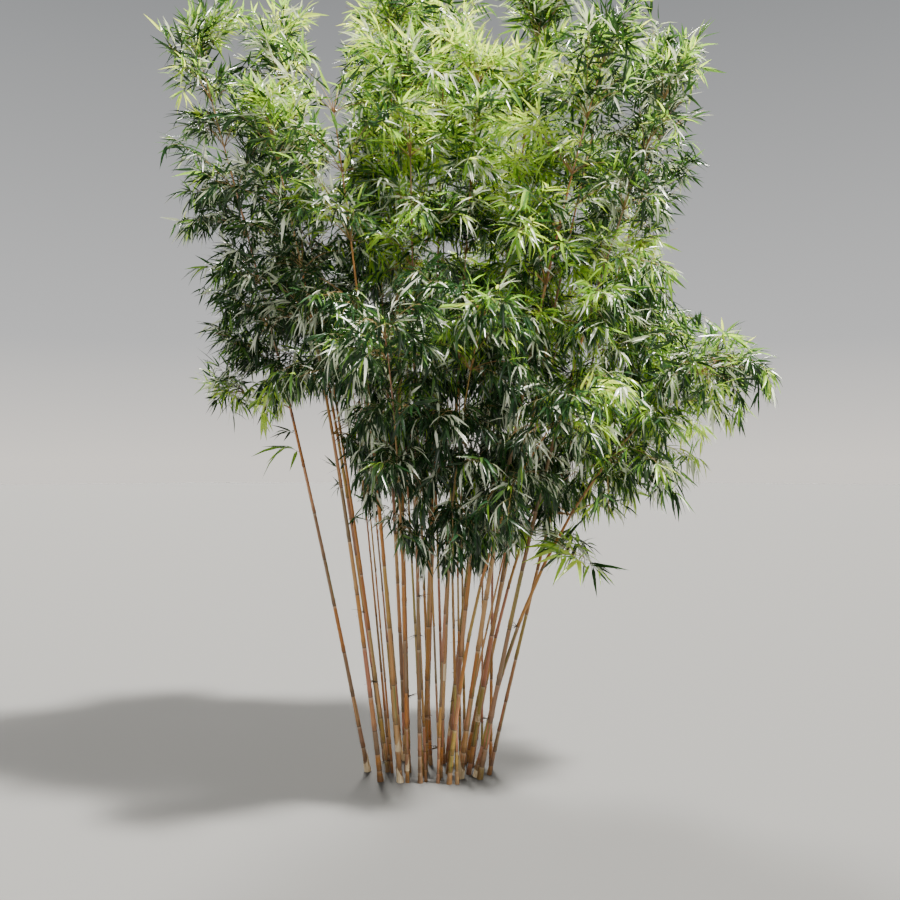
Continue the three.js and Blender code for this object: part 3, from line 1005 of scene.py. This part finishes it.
def model_leaf():
    """One leaf, a metre long and half a metre each side of its rib: a grid whose rows are drawn in to the
    leaf's outline, each set aside by two metres until all are done, and folded up a little from the rib."""
    bpy.ops.mesh.primitive_grid_add(x_subdivisions=3, y_subdivisions=2, size=1, location=(0.5, 0, 0))
    leaf = bpy.context.object
    bpy.ops.object.transform_apply(location=True)
    for start, place, width in LEAF_ROWS:
        edit("DESELECT")
        leave_edit()
        for vertex in leaf.data.vertices:
            vertex.select = abs(vertex.co.x - start) < 0.01
        edit(action=None)
        bpy.ops.transform.resize(value=(1, max(width, 1e-4), 1), center_override=(start, 0, 0))
        bpy.ops.transform.translate(value=(place - start + 2, 0, 0))
        leave_edit()
    edit()
    bpy.ops.transform.translate(value=(-2, 0, 0))
    bpy.ops.mesh.remove_doubles(threshold=0.001)
    bpy.ops.mesh.quads_convert_to_tris()
    leave_edit()
    points, faces = taken_arrays(leaf)
    points[:, 2] = np.abs(points[:, 1]) * LEAF_FOLD
    return points, faces


def model_bud():
    """One bud, a metre long on its foot: a ball pressed flat against its cane and drawn up to a point."""
    bpy.ops.mesh.primitive_uv_sphere_add(segments=8, ring_count=6, radius=0.5, location=(0, 0, 0.5))
    bud = bpy.context.object
    bpy.ops.object.transform_apply(location=True)
    for vertex in bud.data.vertices:
        vertex.select = vertex.co.z > 0.6
    edit(action=None)
    bpy.ops.transform.resize(value=(0.62, 0.62, 1.3), center_override=(0, 0, 0.6))
    bpy.ops.mesh.select_all(action="SELECT")
    bpy.ops.transform.resize(value=(0.42, 0.66, 1), center_override=(0, 0, 0))
    bpy.ops.mesh.quads_convert_to_tris()
    leave_edit()
    return taken_arrays(bud)


def frame_across(way):
    """Two unit vectors square to a way and to each other."""
    first = way.orthogonal().normalized()
    return first, way.cross(first)


def model_joint_trim(canes, bud_scale, dead_wood):
    """The buds at the bare joints of every cane, and stubs of dead branches at some: two joined pieces."""
    shape, bud_faces = model_bud()
    roll = random.Random(11)
    buds, stubs = [], []
    for cane in canes:
        start = roll.uniform(0, 2 * math.pi)
        for index, at in enumerate(cane.joints):
            if at > cane.bare:
                break
            turn = start + index * math.pi + roll.uniform(-BUD_TURN_SCATTER, BUD_TURN_SCATTER)
            along = cane.line.direction(at)
            first, second = frame_across(along)
            outward = first * math.cos(turn) + second * math.sin(turn)
            level = along.cross(outward)
            radius = float(cane.radius_at(at))
            size = BUD_LENGTH * roll.uniform(*BUD_SCATTER)
            foot = cane.line.point(at + BUD_RISE) + outward * radius * BUD_SEAT
            turned = np.array([outward, level, along])
            buds.append(np.array(foot) + (shape * size) @ turned)
            if roll.random() > STUB_CHANCE:
                continue
            for _ in range(roll.randint(*STUBS_A_JOINT)):
                side = roll.uniform(-STUB_SPREAD, STUB_SPREAD)
                way = outward * math.cos(side) + level * math.sin(side) + along * roll.uniform(*STUB_CLIMB)
                tip = way.normalized() * roll.uniform(*STUB_LENGTH)
                root = cane.line.point(at + STUB_RISE) + outward * radius * STUB_SEAT
                sag = Vector((0, 0, -STUB_SAG * tip.length))
                stubs.append([root, root + tip * 0.5, root + tip + sag])
    faces = np.concatenate([bud_faces + i * len(shape) for i in range(len(buds))])
    seat(joined_mesh("buds", np.concatenate(buds), faces, [bud_scale]), "branch")
    stub_radii = [[STUB_RADIUS * share for share in STUB_TAPER]] * len(stubs)
    points, faces, _ = tubes(stubs, stub_radii, BRANCH_SIDES)
    seat(joined_mesh("dead_stubs", points, faces, [dead_wood]), "branch")


class Foliage:
    """The branches, twigs and leaves that one mass grows."""

    def __init__(self):
        self.branches, self.branch_radii = [], []
        self.twigs, self.twig_radii = [], []
        self.leaves = []


def level_across(way, roll):
    """The level unit vector square to a way, or a random one where the way is upright."""
    across = way.cross(Vector((0, 0, 1)))
    if across.length < 0.05:
        across = aim(roll.uniform(0, 360), 0)
    return across.normalized()


def grow_leaves(foliage, roll, line, count, hang, tone, size=1.0):
    """Leaves along a twig, left and right by turns, with one that carries on its tip. Each is kept as its
    root, way, normal, length, curl and tone, where a tone of 1 shows the underside, whitened as a painted
    glint."""
    side = roll.choice((-1, 1))
    # The chance of a whitened underside, a painted glint, for each leaf of this spray
    turned = TURNED_GLINT_CHANCE if roll.random() < TURNED_GLINT_SPRAYS else UNDERSIDE_GLINT_CHANCE
    along = line.direction(line.length)
    across = level_across(along, roll)
    upward = across.cross(along)
    tilt = math.radians(roll.gauss(0, SPRAY_TILT))
    across = across * math.cos(tilt) + upward * math.sin(tilt)
    for i in range(count):
        share = i / (count - 1)
        turn = mix(*LEAF_TURN, share**LEAF_TURN_EASE)
        turn = math.radians(turn + roll.uniform(-LEAF_TURN_SCATTER, LEAF_TURN_SCATTER))
        side = -side
        way = along * math.cos(turn) + across * (side * math.sin(turn))
        stray = Vector([roll.uniform(-LEAF_STRAY, LEAF_STRAY) for _ in range(3)])
        way = (way + stray - Vector((0, 0, hang * roll.uniform(*LEAF_HANG_SCATTER)))).normalized()
        flat = level_across(way, roll)
        spin = math.radians(roll.gauss(0, LEAF_SPIN))
        normal = flat.cross(way) * math.cos(spin) + flat * math.sin(spin)
        swell = mix(*LEAF_SWELL, math.sin(math.pi * mix(*LEAF_SWELL_PART, share)))
        length = LEAF_LENGTH * size * swell * roll.uniform(*LEAF_LENGTH_SCATTER)
        curl = roll.uniform(*LEAF_CURL) + hang * roll.uniform(0, LEAF_CURL_BY_HANG)
        root = line.point(line.length * mix(LEAF_START, 1, share))
        end = root + way * length
        reach = zip(cad_box[0], end, cad_box[1])
        if all(low - LEAF_SLACK < part < high + LEAF_SLACK for low, part, high in reach):
            shown = upper_tone(tone + roll.gauss(0, LEAF_TONE_SCATTER))
            # A tone of 1 is the whitened underside, a painted glint
            shown = 1 if roll.random() < turned else shown
            foliage.leaves.append((root, way, normal, length, curl, shown))


def upper_tone(tone):
    """A tone kept from 0 to just below 1, which is the underside's, whitened as a painted glint."""
    return min(0.999, max(0, tone))


def seen_place(point):
    """The place from left to right, and the height, that a point has in the camera's view of the clump's
    middle. The crown's back half isn't spread by it."""
    place_x, place_y, place_z = CAMERA_PLACE
    spread = place_y / (place_y - min(point.y, 0))
    return place_x + (point.x - place_x) * spread, place_z + (point.z - place_z) * spread


def nearness(point, x, z, reach):
    """1 at a place in the camera's view of the crown, and less further from it."""
    across, height = seen_place(point)
    return math.exp(-((across - x) ** 2 + (height - z) ** 2) / reach**2)


def tone_at(point, share, roll):
    """How pale the leaves of a spray are: painted sun and shade by its place in the camera's view and partly
    by patch, and paler towards a branch's tip, partly for young leaves and partly as painted inner shade.
    """
    # Paler at the tip, partly for young leaves and partly as painted shade on the inner sprays
    tone = MIDDLE_TONE + TIP_YOUTH_AND_SHADE * (share - 0.5) + roll.gauss(0, TONE_SCATTER)
    # Patches, partly the leaves' own tones and partly painted dappled sun and shade
    tone += PATCH_TONE_AND_DAPPLE * noise.noise(point * PATCHES)
    # Painted sun and shade, by the spray's place in the camera's view
    for *part, shift in SUN_AND_SHADE_PARTS:
        tone += shift * nearness(point, *part)
    return upper_tone(tone)


def in_crown(point, slack):
    """Whether a point is inside the crown's outline, widened by the slack."""
    across, height = seen_place(point)
    left, right, hem = (np.array(edge).T for edge in (LEFT_EDGE, RIGHT_EDGE, HEM))
    if not np.interp(height, *left) - slack < across < np.interp(height, *right) + slack:
        return False
    if height < np.interp(across, *hem) - slack:
        return False
    if abs(across - GAP_PLACE) < GAP_SPREAD * (height - GAP_FOOT) - slack:
        return False
    return cad_box[0][1] + FRONT_DEPTH - slack < point.y < cad_box[1][1] + slack


def add_twig(foliage, twig, radius):
    parts = [part / TWIG_STEPS for part in range(TWIG_STEPS + 1)]
    foliage.twigs.append([twig.point(twig.length * part) for part in parts])
    foliage.twig_radii.append([radius * mix(1, TWIG_TIP, part) for part in parts])


def grow_twigs(foliage, roll, branch, level, mass):
    """Side twigs along a branch, left and right by turns, each with its leaves. A twig that ends outside
    the crown is left out, except on a bough's free spray."""
    side = roll.choice((-1, 1))
    count = max(2, round(branch.length * (1 - FIRST_TWIG) / TWIG_SPACING))
    for i in range(count + 1):
        share = mix(FIRST_TWIG, 1, i / count)
        at = share + roll.uniform(-TWIG_PLACE_SCATTER, TWIG_PLACE_SCATTER)
        at = branch.length * min(0.999, at)
        root, along = branch.point(at), branch.direction(at)
        side = -side
        turn = 0
        if i < count:
            turn = side * (TWIG_TURN + roll.uniform(-TWIG_TURN_SCATTER, TWIG_TURN_SCATTER))
        heading = math.degrees(math.atan2(along.y, along.x)) + turn
        climb = math.degrees(math.asin(max(-1, min(1, along.z)))) + roll.uniform(*TWIG_CLIMB_SCATTER)
        length = TWIG_LENGTH * mix(*TWIG_SHRINK, share) * roll.uniform(*TWIG_LENGTH_SCATTER)
        twig = branch_line(root, heading, climb, mix(*TWIG_DROOP, level), length)
        if not mass["free"] and not in_crown(twig.tip, roll.uniform(*TWIG_SLACK)):
            continue
        if any(roll.random() < lack * nearness(twig.tip, *part) for *part, lack in THIN_PARTS):
            continue
        add_twig(foliage, twig, TWIG_RADIUS)
        size = mass["leaf_size"] * (TIP_LEAF_SIZE if i == count else 1)
        leaves = roll.randint(*LEAVES_A_TWIG)
        tone = tone_at(twig.tip, share, roll)
        grow_leaves(foliage, roll, twig, leaves, mix(*mass["hang"], level), tone, size)


def nearest_stem(point, stems):
    """The number of the mass whose stem is nearest to a point."""
    spot = np.array(point)
    return int(np.argmin([((stem - spot) ** 2).sum(1).min() for stem in stems]))


def grow_leader(foliage, roll, stem):
    """The large upright leaves that a cane ends in, on short shoots along its tip."""
    way = stem.direction(stem.length)
    heading = math.degrees(math.atan2(way.y, way.x))
    climb = max(LEADER_CLIMB, math.degrees(math.asin(way.z)))
    for place, turn in enumerate(LEADER_TURNS):
        root = stem.point(stem.length * LEADER_TOP - place * LEADER_SPACING)
        shoot = branch_line(root, heading + turn, climb, LEADER_DROOP, LEADER_SHOOT)
        add_twig(foliage, shoot, TIP_RADIUS)
        tone = tone_at(root, 1, roll)
        grow_leaves(foliage, roll, shoot, LEAVES_A_SHOOT, LEADER_HANG, tone, LEADER_LEAF_SIZE)


def grow_sprigs(foliage, roll, mass):
    """Small leafy sprigs at some of a cane's bare joints, and its larger ones."""
    sprigs = [
        (at, roll.uniform(0, 360), roll.uniform(*SPRIG_LENGTH), SPRIG_LEAF_SIZE)
        for at in mass["bare_joints"] if roll.random() < SPRIG_CHANCE
    ]
    for at, heading, length, size in sprigs + mass["large_sprigs"]:
        root = mass["stem"].point(at)
        sprig = branch_line(root, heading, roll.uniform(*SPRIG_CLIMB), SPRIG_DROOP, length)
        add_twig(foliage, sprig, TWIG_RADIUS)
        leaves = roll.randint(*LEAVES_A_SPRIG) + round(LEAVES_BY_SIZE * size)
        grow_leaves(foliage, roll, sprig, leaves, SPRIG_HANG, tone_at(root, 1, roll), size)


def grow_mass(mass, own, stems):
    """A mass of foliage on the upper part of a stem. Fans of branches leave its joints round and round,
    and each is tried at several headings until it ends inside the crown, nearer to its own stem than to
    any other."""
    foliage = Foliage()
    roll = random.Random(mass["seed"])
    stem, start = mass["stem"], mass["start"]
    parts = [i / (BRANCH_STEPS - 1) for i in range(BRANCH_STEPS)]
    for index, at in enumerate(mass["joints"]):
        level = (at - start) / (stem.length - start)
        root = stem.point(at)
        for turn, share in mass["fan"]:
            for attempt in range(TRIES):
                heading = (index + mass["seed"] + attempt * TRY_TURN) * GOLDEN_ANGLE + turn
                heading += roll.uniform(-BRANCH_TURN_SCATTER, BRANCH_TURN_SCATTER)
                climb = mix(*mass["climb"], level)
                climb += roll.uniform(-BRANCH_CLIMB_SCATTER, BRANCH_CLIMB_SCATTER)
                length = mix(*mass["reach"], level) * share * roll.uniform(*BRANCH_LENGTH_SCATTER)
                length *= 1 - TRY_SHRINK * attempt
                droop = mix(*mass["droop"], level) * roll.uniform(*BRANCH_DROOP_SCATTER)
                branch = branch_line(root, heading, climb, droop, length)
                inside = mass["free"] or in_crown(branch.tip, BRANCH_SLACK)
                if inside and nearest_stem(branch.point(length * OWN_SHARE), stems) == own:
                    break
            else:
                continue
            foliage.branches.append([branch.point(part * branch.length) for part in parts])
            thick = BRANCH_RADIUS * mix(BRANCH_THINNING, 1, share) * mix(1, BRANCH_THINNING, level)
            foliage.branch_radii.append([
                thick * mix(1, BRANCH_TIP, part) * (BRANCH_JOINT if i % STEPS_A_JOINT == 1 else 1)
                for i, part in enumerate(parts)
            ])
            grow_twigs(foliage, roll, branch, level, mass)
    if mass["free"]:
        foliage.branches.append([stem.point(part * stem.length) for part in parts])
        foliage.branch_radii.append([BOUGH_RADIUS * (1 - BOUGH_TAPER * part) for part in parts])
    else:
        grow_leader(foliage, roll, stem)
    grow_sprigs(foliage, roll, mass)
    return foliage


def leaf_arrays(leaves, template):
    """All leaves of a mass as arrays: the template set at each root, curled down over its length."""
    shape, faces = template
    roots, ways, normals = (np.array([leaf[i] for leaf in leaves]) for i in range(3))
    sizes, curls = (np.array([leaf[i] for leaf in leaves])[:, None] for i in (3, 4))
    bend = curls * shape[None, :, 0]
    forward = sizes * np.sin(bend) / curls
    down = sizes * (1 - np.cos(bend)) / curls
    across = np.cross(ways, normals)
    widths = sizes * (LEAF_WIDTH / LEAF_LENGTH)
    upward = normals[:, None] * np.cos(bend)[..., None] + ways[:, None] * np.sin(bend)[..., None]
    points = (
        roots[:, None]
        + ways[:, None] * forward[..., None]
        - normals[:, None] * down[..., None]
        + across[:, None] * (widths * shape[None, :, 1])[..., None]
        + upward * (widths * shape[None, :, 2])[..., None]
    )
    triangles = faces[None] + (np.arange(len(leaves)) * len(shape))[:, None, None]
    return points.reshape(-1, 3), triangles.reshape(-1, 3)


def deal_tones(leaves, greens, per_leaf):
    """A material number for every triangle: its leaf's green, or the underside's, a painted glint, for a
    tone of 1.
    """
    tones = np.array([leaf[5] for leaf in leaves])
    return np.repeat((tones * greens).astype(int), per_leaf)


def make_mass(name, foliage, template, wood, greens, nodes):
    """The pieces of one mass: its twigs with the branches that they grow on, and its leaves."""
    limbs, limb_faces, a_limb = tubes(foliage.branches, foliage.branch_radii, BRANCH_SIDES)
    twigs, twig_faces, a_twig = tubes(foliage.twigs, foliage.twig_radii, TWIG_SIDES)
    slots = np.concatenate([
        np.zeros(len(foliage.branches) * a_limb, int), np.ones(len(foliage.twigs) * a_twig, int)
    ])
    faces = np.concatenate([limb_faces, twig_faces + len(limbs)])
    obj = joined_mesh(f"twigs_{name}", np.concatenate([limbs, twigs]), faces, wood, slots)
    seat(obj, "branch", *nodes)
    points, triangles = leaf_arrays(foliage.leaves, template)
    slots = deal_tones(foliage.leaves, len(greens) - 1, len(template[1]))
    obj = joined_mesh(f"leaves_{name}", points, triangles, greens, slots)
    seat(obj, "foliage", *nodes)


def cane_mass(cane):
    """All that a cane's plume grows by."""
    foot = cane.bare - BELOW_BARE
    return dict(
        name=cane.name, stem=cane.line, start=cane.bare, free=False, leaf_size=1,
        joints=[at for at in cane.joints if at > foot] + [cane.length * LAST_FAN],
        bare_joints=[at for at in cane.joints if SPRIG_FOOT < at < foot],
        large_sprigs=[sprig for name, *sprig in LARGE_SPRIGS if name == cane.name],
        fan=RICH_FAN if cane.row == "low_right" else BRANCH_FAN,
        seed=cane.number, nodes=[f"plume_{cane.name}"], **GROWTH[cane.row],
    )


def bough_mass(number, bough, carrier):
    """All that a bough's spray grows by. Its stem is the bough and the spray's own stem in one."""
    root = carrier.line.point(bough["at"])
    total = bough["length"] + bough["spray"]
    stem = branch_line(root, bough["heading"], bough["climb"], bough["droop"], total)
    return dict(
        name=bough["name"], stem=stem, start=bough["length"], free=True, leaf_size=bough["leaf_size"],
        joints=[bough["length"], stem.length * LAST_SPRAY_FAN], bare_joints=[], large_sprigs=[],
        fan=bough["fan"], reach=bough["reach"], hang=bough["hang"],
        climb=SPRAY_CLIMB, droop=SPRAY_DROOP,
        seed=SPRAY_SEED + number, nodes=[f"spray_{bough['name']}", f"bough_{bough['name']}"],
    )


def stem_spots(mass):
    """Places along the leafy part of a mass's stem."""
    shares = [i / STEM_SPOTS for i in range(STEM_SPOTS + 1)]
    stem = mass["stem"]
    return np.array([stem.point(mix(mass["start"], stem.length, share)) for share in shares])


# The plant

canes = plant_canes()
thin_canes = plant_thin_canes(canes)
by_name = {cane.name: cane for cane in canes}
finish = cane_finish()
master = model_master_cane()
for cane in canes:
    model_cane(master, cane, finish, f"cane_{cane.name}")
for cane in thin_canes:
    model_cane(master, cane, finish)
bpy.data.objects.remove(master)
model_sheaths(by_name, sheath_finish())
model_joint_trim(
    canes + thin_canes,
    plain_finish("bud_scale", (0.3, 0.16, 0.06), 0.6),
    plain_finish("dead_wood", (0.055, 0.032, 0.018), 0.8),
)

wood = [
    plain_finish("branch_wood", (0.3, 0.17, 0.05), 0.45),
    plain_finish("twig_wood", (0.2, 0.18, 0.05), 0.55),
]
greens = [leaf_finish(*green) for green in GREENS]
template = model_leaf()
masses = [cane_mass(cane) for cane in canes]
masses += [bough_mass(number, bough, by_name[bough["cane"]]) for number, bough in enumerate(BOUGHS)]
stems = [stem_spots(mass) for mass in masses]
for own, mass in enumerate(masses):
    make_mass(mass["name"], grow_mass(mass, own, stems), template, wood, greens, mass["nodes"])


# The floor, the light and the camera

def add_floor():
    bpy.ops.mesh.primitive_circle_add(vertices=96, radius=FLOOR_RADIUS, fill_type="NGON")
    floor = bpy.context.object
    floor.name = "floor"
    floor.data.materials.append(plain_finish("pale_floor", FLOOR_COLOUR, 0.9))


def add_light(kind, name, place, target, size, power, colour):
    """A soft lamp: a far one with its size as an angle, or a round panel with its size in metres."""
    bpy.ops.object.light_add(type=kind, location=place)
    light = bpy.context.object
    light.name = name
    if kind == "SUN":
        light.data.angle = math.radians(size)
    else:
        light.data.shape = "DISK"
        light.data.size = size
    light.data.energy = power
    light.data.color = colour
    light.rotation_euler = (Vector(target) - Vector(place)).to_track_quat("-Z", "Y").to_euler()


def add_backdrop():
    """A backdrop all round, as pale as the floor where the two meet and duller higher up."""
    world = bpy.data.worlds.new("studio")
    world.use_nodes = True
    tree = world.node_tree
    spot = node(tree, "ShaderNodeTexCoord").outputs["Generated"]
    height = node(tree, "ShaderNodeSeparateXYZ", {0: spot}).outputs[2]
    wire(tree, tree.nodes["Background"], {0: ramp(tree, height, BACKDROP)})
    bpy.context.scene.world = world


def add_camera():
    bpy.ops.object.camera_add(
        location=CAMERA_PLACE, rotation=(math.radians(90 + CAMERA_PITCH), 0, 0)
    )
    camera = bpy.context.object
    camera.data.lens = CAMERA_LENS
    bpy.context.scene.camera = camera


add_floor()
for light in LIGHTS:
    add_light(**light)
add_backdrop()
add_camera()
